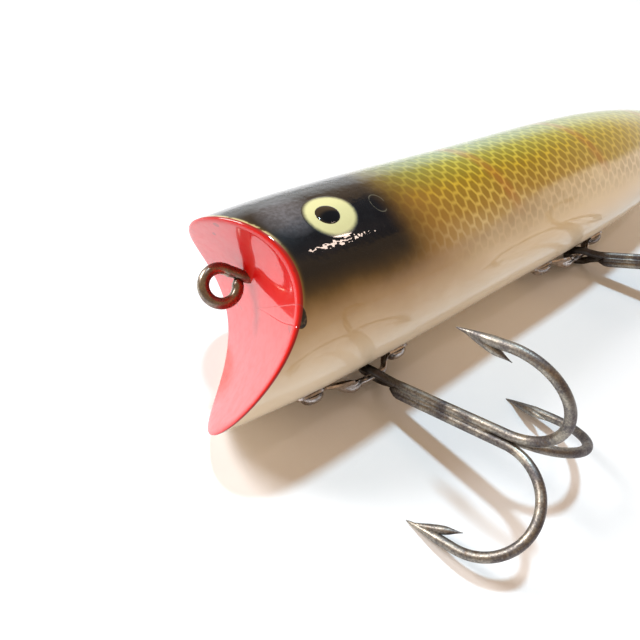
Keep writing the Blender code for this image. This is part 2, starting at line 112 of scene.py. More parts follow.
FRONT_WIDENING = 0.75 * MM    # of the channel's half width, in front of the hook's eye
FRONT_SOFTENING = 0.25 * MM   # of the channel's radius there
FLARE = 0.45 * MM             # outwards, of the channel's edges near the front pad
FLARE_REACH = 0.5 * MM        # from the edge
WALL_SLOPE = math.radians(80)
SCREW_DOME = 1.4 * MM         # radius of a screw's head
SCREW_SLOT_HALF = 0.19 * MM
SCREW_SLOT_DEPTH = 0.42 * MM
SNUG_BUNDLE = 0.63 * MM       # the treble's wires touch each other along the shank
SINGLE_START = 2.7 * MM       # where the brazed wire and the braze start
SHANK_START = 4.0 * MM        # where the eye's wire becomes the double hook's shank
BRAZE_END = HOOK_SHANK - 0.5 * MM
BARB_START = 0.7 * MM         # from the point to where the barb leaves the wire
BARB_TIP = 5.75 * MM          # and to its sliced tip
BARB_RISE = 1.85 * MM         # of the tip above the middle of the wire

# Camera, in the lure's frame: millimetres, radians and the lens in millimetres
CAMERA_PLACE = (-10.41, -57.98, 1.23)
CAMERA_TURN = (1.4823, 0.3793, -0.4985)
CAMERA_LENS = 31.85

# Where the light comes from: turn from +X towards +Y and rise from the table, in degrees
KEY_FROM = (57.4, 69)
SIDE_FROM = (112, 48)
STRIP_FROM = (-10.5, 56)
DARK_CARD_AT = (12, 47)


def srgb(code):
    """Linear colour from a hex code such as "d2b48c"."""
    parts = [int(code[i:i + 2], 16) / 255 for i in (0, 2, 4)]
    linear = [p / 12.92 if p <= 0.04045 else ((p + 0.055) / 1.055) ** 2.4 for p in parts]
    return (*linear, 1.0)


# The lure's frame, from the tail joint, whose axis is the lure's Y ---------------------------
def lure_matrix():
    tail = JOINTS["tail_treble_swing"]
    y = Vector(tail["axis"]).normalized()
    x = y.cross(Vector((0, 1, 0))).normalized()
    z = x.cross(y)
    turn = Matrix((x, y, z)).transposed()
    ring = Vector((BODY_END + TAIL_RING_STANDOFF, 0, 0))
    return Matrix.Translation(Vector(tail["pos_m"]) - turn @ ring) @ turn.to_4x4()


def smooth_points(points, per_span):
    """Points along a Catmull-Rom curve through the given ones."""
    pts = [np.array(p, float) for p in points]
    pts = [2 * pts[0] - pts[1]] + pts + [2 * pts[-1] - pts[-2]]
    out = []
    for a, b, c, d in zip(pts, pts[1:], pts[2:], pts[3:]):
        for k in range(per_span):
            t = k / per_span
            out.append(0.5 * (2 * b + (c - a) * t + (2 * a - 5 * b + 4 * c - d) * t ** 2
                              + (3 * b - a - 3 * c + d) * t ** 3))
    return out + [pts[-2]]


BODY_CURVE = np.array(smooth_points(BODY_OUTLINE, 12)) * MM
BODY_END = BODY_CURVE[-1][0]
LURE = lure_matrix()


def body_radius(x):
    return float(np.interp(x, BODY_CURVE[:, 0], BODY_CURVE[:, 1]))


def belly_slope(x):
    return (body_radius(x + MM) - body_radius(x - MM)) / (2 * MM)


def ease(value, start, stop):
    """Smooth step from 0 at start to 1 at stop."""
    t = min(max((value - start) / (stop - start), 0), 1)
    return t * t * (3 - 2 * t)


# Mesh helpers -------------------------------------------------------------------------------
def add_piece(name, mesh, matrix, body, slot, *nodes):
    """Adds a mesh as a piece that rides on a body and stands for CAD nodes."""
    mesh.transform(matrix)
    obj = bpy.data.objects.new(name, mesh)
    bpy.context.scene.collection.objects.link(obj)
    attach(obj, body)
    if nodes:
        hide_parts(*nodes)
    mesh.materials.append(MATERIALS[slot])


def finish_mesh(bm, name, sharp_degrees=50):
    bmesh.ops.remove_doubles(bm, verts=bm.verts, dist=1e-7)
    bmesh.ops.recalc_face_normals(bm, faces=bm.faces)
    mesh = bpy.data.meshes.new(name)
    bm.to_mesh(mesh)
    bm.free()
    mesh.shade_smooth()
    mesh.set_sharp_from_angle(angle=math.radians(sharp_degrees))
    return mesh


def skin_rings(bm, rings, close_ends=True):
    """Joins rings of points with faces; the first and last rings are filled."""
    loops = [[bm.verts.new(p) for p in ring] for ring in rings]
    for lower, upper in zip(loops, loops[1:]):
        count = len(lower)
        for i in range(count):
            j = (i + 1) % count
            bm.faces.new((lower[i], lower[j], upper[j], upper[i]))
    if close_ends:
        bm.faces.new(loops[0])
        bm.faces.new(loops[-1])
    return loops


def sweep(bm, points, radii, sides=16):
    """Adds a round wire along the points."""
    pts = [Vector(p) for p in points]
    side = None
    rings = []
    for i, point in enumerate(pts):
        ahead = (pts[min(i + 1, len(pts) - 1)] - pts[max(i - 1, 0)]).normalized()
        if side is None:
            side = ahead.orthogonal().normalized()
        side = (side - ahead * side.dot(ahead)).normalized()
        other = ahead.cross(side)
        ring = []
        for k in range(sides):
            turn = 2 * math.pi * k / sides
            ring.append(point + (side * math.cos(turn) + other * math.sin(turn)) * radii[i])
        rings.append(ring)
    skin_rings(bm, rings)


# Materials ----------------------------------------------------------------------------------
class Graph:
    """A node graph, written as short calls that return sockets."""

    def __init__(self, tree):
        self.tree = tree

    def put(self, socket, value):
        if isinstance(value, bpy.types.NodeSocket):
            self.tree.links.new(value, socket)
        elif value is not None:
            socket.default_value = value

    def node(self, kind, values=(), output=0, **settings):
        node = self.tree.nodes.new("ShaderNode" + kind)
        for key, value in settings.items():
            setattr(node, key, value)
        for key, value in dict(values).items():
            self.put(node.inputs[key], value)
        return node.outputs[output]

    def math(self, operation, *values, clamp=False):
        return self.node("Math", dict(enumerate(values)), operation=operation, use_clamp=clamp)

    def times(self, first, *others):
        for other in others:
            first = self.math('MULTIPLY', first, other)
        return first

    def centred(self, value, size):
        """Moves a value of 0 to 1 to lie evenly about 0, over the given size in all."""
        return self.times(self.math('SUBTRACT', value, 0.5), size)

    def step(self, value, start, stop, low=0.0, high=1.0):
        """Smooth step from low at start to high at stop."""
        values = {0: value, 1: start, 2: stop, 3: low, 4: high}
        return self.node("MapRange", values, interpolation_type='SMOOTHSTEP')

    def mix(self, factor, a, b):
        return self.node("Mix", {0: factor, 6: a, 7: b}, output=2, data_type='RGBA')

    def tint(self, colour, mask, strength, code):
        """Lays a colour over another where the mask says."""
        return self.mix(self.times(mask, strength), colour, srgb(code))

    def attribute(self, name):
        return self.node("Attribute", output=2, attribute_name=name)

    def place(self):
        """Coordinates in the piece's own frame, in metres."""
        return self.node("TexCoord", output=3)

    def noise(self, scale, detail=2.0, roughness=0.5, vector=None, distortion=0.0):
        """Noise with the given number of features per metre."""
        values = {"Vector": vector or self.place(), "Scale": scale, "Detail": detail,
                  "Roughness": roughness, "Distortion": distortion}
        return self.node("TexNoise", values)

    def ramp(self, value, stops):
        """Colour ramp through stops of a position and a hex code."""
        node = self.tree.nodes.new("ShaderNodeValToRGB")
        elements = node.color_ramp.elements
        while len(elements) < len(stops):
            elements.new(0.5)
        for element, (position, code) in zip(elements, stops):
            element.position = position
            element.color = srgb(code)
        self.put(node.inputs[0], value)
        return node.outputs[0]

    def flecks(self, scale, size, share, vector):
        """1 in small round flecks, in some cells of a grid with that many cells per metre."""
        values = {"Vector": vector, "Scale": scale}
        distance = self.node("TexVoronoi", values, output=0)
        cell = self.node("SeparateColor", {0: self.node("TexVoronoi", values, output=1)})
        return self.times(self.step(distance, size, size * 0.5),
                          self.math('GREATER_THAN', cell, share))

    def bump(self, height, distance, strength=1.0):
        values = {"Height": height, "Distance": distance, "Strength": strength}
        return self.node("Bump", values)


class Paint(Graph):
    """A material with one shader."""

    def __init__(self, name):
        self.material = bpy.data.materials.new(name)
        self.material.use_nodes = True
        super().__init__(self.material.node_tree)
        self.shader = self.tree.nodes["Principled BSDF"]

    def set(self, **values):
        for key, value in values.items():
            self.put(self.shader.inputs[key.replace("_", " ")], value)


def spot(p, along, around, x, a, half_x, half_a):
    """1 at the middle of an oval at (x, a) and 0 at its edge, in the paint's millimetres."""
    u = p.math('DIVIDE', p.math('SUBTRACT', along, x), half_x)
    v = p.math('DIVIDE', p.math('SUBTRACT', around, a), half_a)
    squares = [p.math('POWER', p.math('ABSOLUTE', c), 2.0) for c in (u, v)]
    return p.math('SUBTRACT', 1.0, p.math('ADD', *squares), clamp=True)


ARC_RADIUS = 10.7             # millimetres of arc per radian, for the paint's zones
NET_PITCH = 2.10              # millimetres between cells along the body
NET_DROP = 2.07               # and round it, every second row
NET_TURN = math.radians(-2.5)
NET_TIP = 0.36                # half the length of a cell's two short sides
RED_BARS = (42.5, 61.0, 79.5)  # millimetres along the body


def net_lines(p, along, around):
    """1 on the netting's threads and 0 inside its six-sided cells."""
    def turned(a, b, sign):
        return p.math('MULTIPLY_ADD', b, sign * math.sin(NET_TURN),
                      p.times(a, math.cos(NET_TURN)))

    u = p.math('DIVIDE', turned(along, around, 1), NET_PITCH)
    v = p.math('DIVIDE', turned(around, along, -1), NET_DROP)
    half_drop = NET_DROP / 2
    half_width = NET_PITCH / 2 - NET_TIP
    lean = (half_width - NET_TIP) / half_drop
    cells = []
    for shift in (0.0, 0.5):
        px, py = [p.times(p.math('PINGPONG', p.math('ADD', c, shift), 0.5), size)
                  for c, size in ((u, NET_PITCH), (v, NET_DROP))]
        slant = p.math('DIVIDE', p.math('MULTIPLY_ADD', py, lean, px), half_width)
        cells.append(p.math('MAXIMUM', p.math('DIVIDE', py, half_drop), slant))
    inside = p.math('MINIMUM', *cells)
    return p.step(inside, 0.60, 1.0)


def netted_flank(p, along, around, zone, place):
    """Cream belly under a netted flank: threads keep the lighter colour, cells take the darker."""
    drift = p.centred(p.noise(150, 2, 0.5, place), 0.5)
    threads = net_lines(p, p.math('ADD', along, drift), p.math('SUBTRACT', around, drift))
    blotch = p.noise(420, 3, 0.6, place)
    height = p.math('DIVIDE', zone, 24)
    thread_colour = p.ramp(height, [
        (0.10, "9fa87c"), (0.26, "a8b05c"), (0.37, "c0b744"),
        (0.50, "d0ac2e"), (0.64, "d8b256"), (0.74, "dec28e")])
    cell_colour = p.ramp(height, [
        (0.10, "6f8058"), (0.26, "78883f"), (0.37, "878122"),
        (0.50, "917216"), (0.64, "a0782c"), (0.74, "bf9c62")])
    share = p.times(threads, p.step(blotch, 0.25, 0.7, 0.6, 1.0),
                    p.step(along, 22.0, 28.0, 0.35, 1.0))
    flank = p.mix(share, cell_colour, thread_colour)
    flank = p.mix(p.step(along, 45.0, 75.0, 0.0, 0.3), flank, srgb("c8bb6c"))

    cloud = p.noise(90, 3, 0.55, place)
    cream = p.mix(p.step(cloud, 0.35, 0.7), srgb("dec49b"), srgb("cdae7e"))
    cream = p.mix(p.step(along, 25.0, 60.0, 0.0, 0.9), cream, srgb("f4d9aa"))
    ochre = p.times(p.step(zone, 23.0, 17.0), p.step(along, 62.0, 40.0, 0.1, 0.5))
    cream = p.mix(ochre, cream, srgb("a57c42"))
    # Paler low on the belly near the table: painted reflection of the bright floor.
    cream = p.mix(p.step(zone, 21.0, 27.0, 0.0, 0.7), cream, srgb("f1e2cc"))
    cells = p.times(p.math('SUBTRACT', 1.0, threads), p.step(blotch, 0.3, 0.6, 0.15, 0.4),
                    p.step(zone, 21.5, 18.0), p.step(along, 27.0, 38.0))
    cream = p.mix(cells, cream, srgb("93713f"))

    edge = p.step(along, 34.0, 52.0, 18.2, 16.4)
    belly = p.step(p.math('SUBTRACT', zone, edge), -0.7, 0.7)
    return p.mix(belly, flank, cream)


def red_bars(p, colour, along, down, zone):
    """Soft red bars that lean back as they go down."""
    lean = p.math('MULTIPLY_ADD', p.math('SUBTRACT', down, 12.0), -0.2, along)
    for x in RED_BARS:
        off = p.math('ABSOLUTE', p.math('SUBTRACT', lean, x))
        bar = p.times(p.step(off, 1.4, 0.1), p.step(zone, 19.0, 15.0))
        colour = p.tint(colour, bar, 0.28, "b8572c")
    return colour


def airbrushed_head(p, colour, behind, rim, down, zone):
    """Brown and black airbrushed round the head, darkest on the cheeks."""
    amber = p.times(p.step(behind, 38.5, 27.0), p.step(zone, 26.0, 17.0),
                    p.step(zone, 7.0, 13.0, 0.25, 1.0))
    colour = p.tint(colour, amber, 0.7, "96662b")
    moss = p.times(p.step(behind, 41.0, 27.0), p.step(zone, 13.0, 8.0))
    colour = p.tint(colour, moss, 0.5, "46511f")
    haze = p.times(p.step(behind, 32.5, 26.0), p.step(zone, 22.0, 15.6),
                   p.step(down, 4.0, 10.0, 0.6, 1.0))
    colour = p.tint(colour, haze, 0.72, "6b4a1b")
    halo = p.times(p.step(behind, 30.2, 24.6), p.step(zone, 20.2, 16.6), p.step(rim, 0.5, 0.9))
    colour = p.tint(colour, halo, 0.8, "2a1d0d")
    black = p.times(p.step(behind, 28.0, 24.8), p.step(zone, 18.6, 15.6), p.step(rim, 0.5, 1.1))
    colour = p.tint(colour, black, 0.98, "07070a")
    olive = p.times(p.step(rim, 1.6, 0.4), p.step(down, 17.0, 12.0))
    return p.tint(colour, olive, 0.35, "332c16")


def red_mouth(p, colour, rim, down, cloud, mottle, place):
    """Red mouth, which wraps over the rim with painted shade on its rounding, and a thin pale edge
    of wear behind it.
    """
    extra_tone = p.times(p.step(rim, 0.95, 0.6), p.step(down, 13.5, 9.5), p.step(mottle, 0.35, 0.5))
    colour = p.tint(colour, extra_tone, 0.9, "d2c08a")
    red = p.mix(p.step(cloud, 0.3, 0.75), srgb("d80d0b"), srgb("c80a09"))
    # Darker red on the rim's rounding: painted shade.
    red = p.mix(p.step(rim, -0.1, 0.45), red, srgb("8d0d0b"))
    speck = p.step(p.noise(700, 1, 0.4, place), 0.72, 0.76)
    red = p.tint(red, speck, 0.6, "7c1512")
    return p.mix(p.step(rim, 0.62, 0.5), colour, red)


def body_paint():
    p = Paint("body_paint")
    along, around, arc, rim = [p.attribute(n) for n in ("along", "around", "arc", "rim")]
    place = p.place()
    down = p.math('ABSOLUTE', arc)                       # millimetres round from the back
    mottle = p.noise(900, 3, 0.6, place)
    fine = p.noise(2600, 2, 0.5, place)
    cloud = p.noise(110, 4, 0.6, place)
    waver = p.centred(cloud, 2.2)
    zone = p.math('ADD', down, waver)
    behind = p.math('ADD', along, p.times(waver, 0.8))
    colour = netted_flank(p, along, around, zone, place)
    colour = red_bars(p, colour, along, down, zone)
    colour = airbrushed_head(p, colour, behind, rim, down, zone)

    # Pale painted sheen above the eye, standing in for a soft reflection, a chip behind the left
    # side of the mouth and a fine curled scratch.
    painted_sheen = p.times(spot(p, along, arc, 15.6, 8.6, 3.4, 3.6), p.step(fine, 0.3, 0.7, 0.6, 1.0))
    colour = p.tint(colour, painted_sheen, 0.34, "9c9ba2")
    chip = spot(p, along, arc, 11.45, 18.8, 0.85, 1.35)
    chip = p.step(p.times(chip, p.math('ADD', mottle, 0.3)), 0.14, 0.24)
    wood = p.mix(p.step(fine, 0.45, 0.65), srgb("1c140c"), srgb("53412c"))
    colour = p.mix(chip, colour, wood)
    curl = spot(p, along, arc, 25.3, 11.2, 0.85, 1.3)
    curl = p.times(p.step(curl, 0.0, 0.1), p.step(curl, 0.28, 0.14), p.step(mottle, 0.42, 0.55))
    colour = p.tint(colour, curl, 0.38, "8b8672")
    colour = red_mouth(p, colour, rim, down, cloud, mottle, place)

    # Dust in the lacquer, and painted shade on the belly round the hangers, where the gap under
    # each strip is dark.
    dust = p.mix(p.step(mottle, 0.45, 0.55), srgb("5f4d32"), srgb("b9b09c"))
    colour = p.mix(p.times(p.flecks(1100, 0.05, 0.93, place), 0.5), colour, dust)
    off_keel = p.math('SUBTRACT', math.pi * ARC_RADIUS, down)
    for centre in HANGER_CENTRES.values():
        off = p.math('ABSOLUTE', p.math('SUBTRACT', along, centre / MM))
        gap_shade = p.times(p.step(off, 8.6, 7.9), p.step(off_keel, 2.5, 1.7))
        colour = p.tint(colour, gap_shade, 0.85, "3d2c17")

    waves = p.noise(380, 2, 0.5, place)
    peel = p.times(p.step(zone, 21.0, 17.0, 0.3, 2.6), p.step(rim, 1.0, 3.0, 0.05, 1.0))
    peel = p.times(p.noise(1350, 1, 0.5, place), peel)
    height = p.math('ADD', p.times(waves, 0.5), peel)
    height = p.math('SUBTRACT', height, p.times(chip, 3.0))
    skin = p.bump(height, 0.012 * MM)
    p.set(Base_Color=colour, Roughness=p.step(mottle, 0.3, 0.8, 0.30, 0.45), Normal=skin,
          Specular_IOR_Level=0.1, Coat_Weight=1.0, Coat_Roughness=0.03, Coat_IOR=1.5,
          Coat_Normal=skin)
    return p.material


def enamel(name, inner, outer, start, stop, roughness=0.15):
    """Enamel whose colour changes softly towards the edge of its drop."""
    p = Paint(name)
    inner = srgb(inner)
    edge = p.math('ADD', p.attribute("share"), p.centred(p.noise(3000, 3, 0.6), 0.06))
    tone = p.mix(p.noise(600, 2), inner, [c * 0.9 for c in inner[:3]] + [1])
    p.set(Base_Color=p.mix(p.step(edge, start, stop), tone, srgb(outer)), Roughness=roughness,
          Normal=p.bump(p.noise(1500, 2), 0.01 * MM, 0.4), Coat_Weight=1.0, Coat_Roughness=0.03)
    return p.material


def metal(name, colours, scale, roughness, relief, tarnish=None, extra_tone=None):
    """Aged metal: patches of its colours, fine grain, uneven polish and spots of tarnish.

    The last argument holds a hook's colours near its eye and on the outside of its bends; on the
    bends it is painted shade, for a dark reflection.
    """
    p = Paint(name)
    patches = p.noise(scale, 4, 0.55, distortion=0.3)
    grain = p.noise(5200, 2, 0.6)
    blend = p.math('MULTIPLY_ADD', p.math('SUBTRACT', grain, 0.5), 0.55, patches)
    colour = p.ramp(blend, colours)
    if tarnish:
        spots = p.step(p.noise(scale * 2.2, 4, 0.65), 0.56, 0.70)
        colour = p.tint(colour, spots, 0.7, tarnish)
    if extra_tone:
        near_eye, outside = extra_tone
        shank = p.math('MULTIPLY_ADD', patches, -5.0, p.attribute("shank"))
        colour = p.mix(p.step(shank, 4.0, -1.0, 0.0, 0.85), colour, srgb(near_eye))
        # Painted shade on the outside of the bends, standing in for a dark reflection there.
        outer = p.math('MULTIPLY_ADD', patches, 0.3, p.attribute("outer"))
        colour = p.mix(p.step(outer, 0.4, 1.0, 0.0, 0.55), colour, srgb(outside))
    low, high = roughness
    height = p.math('ADD', p.times(grain, 0.5), patches)
    p.set(Base_Color=colour, Metallic=1.0, Roughness=p.step(blend, 0.3, 0.7, high, low),
          Normal=p.bump(height, relief))
    return p.material


MATERIALS = {
    "body_paint": body_paint(),
    "iris_enamel": enamel("iris_enamel", "dad79f", "1a2026", 0.80, 1.0),
    "pupil_enamel": enamel("pupil_enamel", "060606", "0a0908", 0.6, 1.0, roughness=0.08),
    "wire_bronze": metal(
        "wire_bronze", [(0.3, "655a54"), (0.5, "867a70"), (0.7, "a3977f")],
        scale=420, roughness=(0.24, 0.36), relief=0.010 * MM),
    "hanger_nickel": metal(
        "hanger_nickel", [(0.3, "8a817d"), (0.5, "b9b0ad"), (0.7, "dcd3cf")],
        scale=420, roughness=(0.18, 0.36), relief=0.012 * MM, tarnish="86705c"),
    "screw_steel": metal(
        "screw_steel", [(0.3, "7a706b"), (0.5, "aaa29f"), (0.7, "cfc7c4")],
        scale=600, roughness=(0.14, 0.30), relief=0.010 * MM, tarnish="5e4a38"),
    # The hooks are darker near the eye, and carry painted shade on the outside of their bends.
    "hook_steel": metal(
        "hook_steel", [(0.30, "595456"), (0.46, "77726f"), (0.60, "989288"), (0.74, "b5ad9e")],
        scale=420, roughness=(0.40, 0.58), relief=0.02 * MM, tarnish="6e5a48",
        extra_tone=("33302f", "4a4149")),
}


# Body ---------------------------------------------------------------------------------------
def scoop_x(height):
    rise = height - SCOOP_CENTRE_HEIGHT
    return SCOOP_BACK - SCOOP_SQUARE * rise ** 2 - SCOOP_FOURTH * rise ** 4


def rim_x(angle):
    """Where the mouth meets the body's side at an angle from the back."""
    x = SCOOP_BACK
    for _ in range(30):
        x = scoop_x(body_radius(x) * math.cos(angle))
    return x


def relief_depth(x, angle):
    """Depth of the hollows in the belly that leave room for the hooks' eyes."""
    r = body_radius(x)
    y, low = r * math.sin(angle), -r * math.cos(angle)
    depth = 0.0
    for centre in HANGER_CENTRES.values():
        off = abs(x - centre - HOOK_EYE_BEHIND_CENTRE)
        if low > 0 and off < RELIEF_HALF_LENGTH and abs(y) < RELIEF_RADIUS:
            floor = r + HANGER_HUMP - math.sqrt(RELIEF_RADIUS ** 2 - y ** 2)
            full = max(0.0, low - floor)
            depth = max(depth, full * ease(RELIEF_HALF_LENGTH - off, 0, 0.3 * MM))
    return depth


def make_body(round_count=288, skin_count=260, rim_count=9, mouth_count=44):
    """Turned body with its scooped mouth, as one closed skin with a rounded rim."""
    bm = bmesh.new()
    layers = [bm.verts.layers.float.new(n) for n in ("along", "around", "arc", "rim")]
    columns = []
    for k in range(round_count):
        angle = 2 * math.pi * k / round_count - math.pi
        corner = rim_x(angle)
        start = corner + RIM_SKIN
        column = []
        for i in range(skin_count):
            share = i / (skin_count - 1)
            x = BODY_END + (start - BODY_END) * share
            r = body_radius(x) - relief_depth(x, angle)
            column.append((x, r, (x - corner) / MM))
        radius = body_radius(corner)
        inner = 1 - RIM_MOUTH / radius
        outer_point = np.array((start, body_radius(start)))
        corner_point = np.array((corner, radius))
        height = radius * inner * math.cos(angle)
        inner_point = np.array((scoop_x(height), radius * inner))
        for i in range(1, rim_count):
            t = i / rim_count
            x, r = ((1 - t) ** 2 * outer_point + 2 * t * (1 - t) * corner_point
                    + t ** 2 * inner_point)
            reach = (1 - t) * RIM_SKIN - t * RIM_MOUTH
            column.append((x, r, reach / MM))
        for i in range(mouth_count):
            r = radius * inner * (1 - i / mouth_count)
            column.append((scoop_x(r * math.cos(angle)), r, (r - radius) / MM))
        verts = []
        for x, r, rim in column:
            vert = bm.verts.new((x, -r * math.sin(angle), r * math.cos(angle)))
            values = (x / MM, angle * body_radius(x) / MM, angle * ARC_RADIUS, rim)
            for layer, value in zip(layers, values):
                vert[layer] = value
            verts.append(vert)
        columns.append(verts)
    middle = bm.verts.new((scoop_x(0), 0, 0))
    tail = bm.verts.new((BODY_END, 0, 0))
    for vert, x, rim in ((middle, scoop_x(0), -10.0), (tail, BODY_END, 80.0)):
        for layer, value in zip(layers, (x / MM, 0.0, 0.0, rim)):
            vert[layer] = value
    for a, b in zip(columns, columns[1:] + columns[:1]):
        for i in range(len(a) - 1):
            bm.faces.new((a[i], a[i + 1], b[i + 1], b[i]))
        bm.faces.new((a[-1], middle, b[-1]))
        bm.faces.new((a[0], b[0], tail))
    mesh = finish_mesh(bm, "body_skin", 60)
    add_piece("body_skin", mesh, LURE, "lure", "body_paint", "body")


def make_drop(name, side, radius, forward, edge, crown, slot, node):
    """Round drop of enamel on the body: thin at its edge, crowned in its middle."""
    circle, steps = 64, 14
    bm = bmesh.new()
    layer = bm.verts.layers.float.new("share")
    rings = []
    for i in range(steps + 1):
        share = 1 - i / steps
        lift = edge + crown * (1 - share ** 2.2) if i else 0.0
        ring = []
        for k in range(circle):
            turn = 2 * math.pi * k / circle
            x = EYE_X - forward + radius * share * math.cos(turn)
            angle = EYE_ANGLE + (radius * share * math.sin(turn) - EYE_LIFT) / body_radius(EYE_X)
            r = body_radius(x) + lift
            vert = bm.verts.new((x, side * r * math.sin(angle), r * math.cos(angle)))
            vert[layer] = share
            ring.append(vert)
        rings.append(ring)
    for lower, upper in zip(rings, rings[1:]):
        for i in range(circle):
            j = (i + 1) % circle
            bm.faces.new((lower[i], lower[j], upper[j], upper[i]))
    bm.faces.new(rings[0])
    add_piece(name, finish_mesh(bm, name, 80), LURE, "lure", slot, node)


def make_eyes():
    for label, side in (("left", -1), ("right", 1)):
        make_drop("iris_" + label, side, IRIS_RADIUS + 0.12 * MM, forward=0, edge=0.004 * MM,
                  crown=0.06 * MM, slot="iris_enamel", node="eye_iris_" + label)
        make_drop("pupil_" + label, side, PUPIL_RADIUS + 0.1 * MM, forward=PUPIL_FORWARD,
                  edge=0.07 * MM, crown=0.12 * MM, slot="pupil_enamel",
                  node="eye_pupil_" + label)


# Screw eyes and tail cup --------------------------------------------------------------------
def make_screw_eye(name, centre, along, reach, offset, node):
    """Wire ring whose end closes on its own neck, with its shank in the wood."""
    across = Vector((-along.z, 0, abs(along.x)))
    first, last = math.radians(17), math.radians(50)
    turns = np.linspace(first, last - 2 * math.pi, 80)
    path = [(SCREW_EYE_RING * math.cos(a), SCREW_EYE_RING * math.sin(a)) for a in turns]
    neck = [path[-1], (1.9 * MM, 0.9 * MM + 0.6 * offset), (2.5 * MM, 0.42 * MM + 0.85 * offset),
            (3.1 * MM, 0.08 * MM + offset), (3.7 * MM, offset), (5.0 * MM, offset)]
    path += [tuple(p) for p in smooth_points(neck, 6)[1:]] + [(reach, offset)]
    points = [centre + along * u + across * s for u, s in path]
    radii = [SCREW_EYE_WIRE] * len(points)
    for i in range(6):
        radii[i] = SCREW_EYE_WIRE * math.sin(math.pi / 2 * (i + 1) / 7) ** 0.6
    radii[-1] = 0.08 * MM
    bm = bmesh.new()
    sweep(bm, points, radii, 24)
    add_piece(name, finish_mesh(bm, name), LURE, "lure", "wire_bronze", node)


def make_tail_cup():
    face, radius = BODY_END, TAIL_CUP_RADIUS
    lip = 1.1 * MM
    hole = SCREW_EYE_WIRE + 0.05 * MM
    section = [(0.02, hole), (0.02, radius - 0.55 * MM), (-lip / MM, radius + 0.3 * MM),
               (-lip / MM - 0.1, radius + 0.45 * MM), (-lip / MM + 0.1, radius + 0.62 * MM),
               (0.1, radius + 0.2 * MM), (0.42, radius - 0.25 * MM), (0.5, radius - 0.8 * MM),
               (0.46, radius - 1.5 * MM), (0.46, hole)]
    curve = smooth_points([(x * MM, r) for x, r in section], 5)
    outline = [(face + x, r) for x, r in curve]
    bm = bmesh.new()
    rings = [[(x, r * math.sin(a), r * math.cos(a)) for x, r in outline]
             for a in np.arange(72) * math.pi / 36]
    loops = skin_rings(bm, rings, close_ends=False)
    for i in range(len(outline)):
        j = (i + 1) % len(outline)
        bm.faces.new((loops[-1][i], loops[-1][j], loops[0][j], loops[0][i]))
    add_piece("tail_washer", finish_mesh(bm, "tail_washer"), LURE, "lure", "hanger_nickel",
              "tail_cup")


# Hangers and their screws -------------------------------------------------------------------
def belly_point(x, offset):
    return Vector((x, 0, -(body_radius(x) + offset)))


def hanger_section(s):
    """Half width, curvature, flare and depth below the belly of a hanger's sheet.

    s runs along the hanger, from -1 at its front end to 1 at its rear end.
    """
    aft = 1 - ease(s, 0.46, 0.62)
    lifted = min(max((s + 0.60) / 0.70, 0), 1) * aft
    pressed = ease(s, -0.58, -0.14) * (1 - ease(s, 0.48, 0.62))
    front = 1 - ease(s, -0.12, 0.08)
    to_pad_middle = (abs(s) - PAD_MIDDLE) / PAD_REACH
    oval = math.sqrt(max(1 - to_pad_middle ** 2, 0.0))
    pad = PAD_HALF_WIDTH * oval if abs(s) > PAD_MIDDLE - PAD_REACH else 0
    widest = CHANNEL_HALF_WIDTH + FRONT_WIDENING * front
    channel = NECK_HALF_WIDTH + (widest - NECK_HALF_WIDTH) * pressed
    half = max(pad, channel) if abs(s) < PAD_MIDDLE else pad
    curvature = 1 / BELLY_RADIUS + pressed / (CHANNEL_RADIUS + FRONT_SOFTENING * front)
    flat = SHEET / 2 + 0.02 * MM
    flare = FLARE * ease(s, -0.6, -0.4) * (1 - ease(s, -0.15, 0.0))
    walls = sheet_point(half, half, curvature, flare)[1] if pressed else 0
    depth = flat + (EDGE_DEPTH - flat) * lifted + walls * aft
    return max(half, 0.12 * MM), curvature, flare, depth


def sheet_point(reach, half, curvature, flare):
    """Sideways place, rise and tilt of a bent sheet at a reach from its middle."""
    bend = min(reach * curvature, WALL_SLOPE)
    straight = reach - bend / curvature
    edge = max(0.0, 1 - (half - reach) / FLARE_REACH) if flare else 0.0
    y = math.sin(bend) / curvature + straight * math.cos(bend) + flare * edge ** 2
    rise = (1 - math.cos(bend)) / curvature + straight * math.sin(bend)
    return y, rise, bend * (1 - 0.8 * edge * flare / FLARE)


def make_hanger(end):
    """Pressed strip with two oval pads on the belly and a channelled hump between them."""
    centre = HANGER_CENTRES[end]
    steps, across = 150, 20
    rings = []
    for s in np.sin(np.linspace(-1, 1, steps) * math.pi / 2):
        half, curvature, flare, depth = hanger_section(s)
        x = centre + s * HANGER_HALF_LENGTH
        outer, inner = [], []
        for k in range(across + 1):
            share = 2 * k / across - 1
            y, rise, bend = sheet_point(abs(share) * half, half, curvature, flare)
            y, bend = math.copysign(y, share), math.copysign(bend, share)
            thick = SHEET / 2 * (1 - 0.35 * abs(share) ** 6)
            normal = Vector((0, -math.sin(bend), math.cos(bend)))
            middle = belly_point(x, depth) + Vector((0, y, rise))
            outer.append(middle - normal * thick)
            inner.append(middle + normal * thick)
        rings.append(outer + inner[::-1])
    bm = bmesh.new()
    skin_rings(bm, rings)
    add_piece(end + "_hanger_strip", finish_mesh(bm, end + "_hanger_strip"), LURE, "lure",
              "hanger_nickel", end + "_hanger")


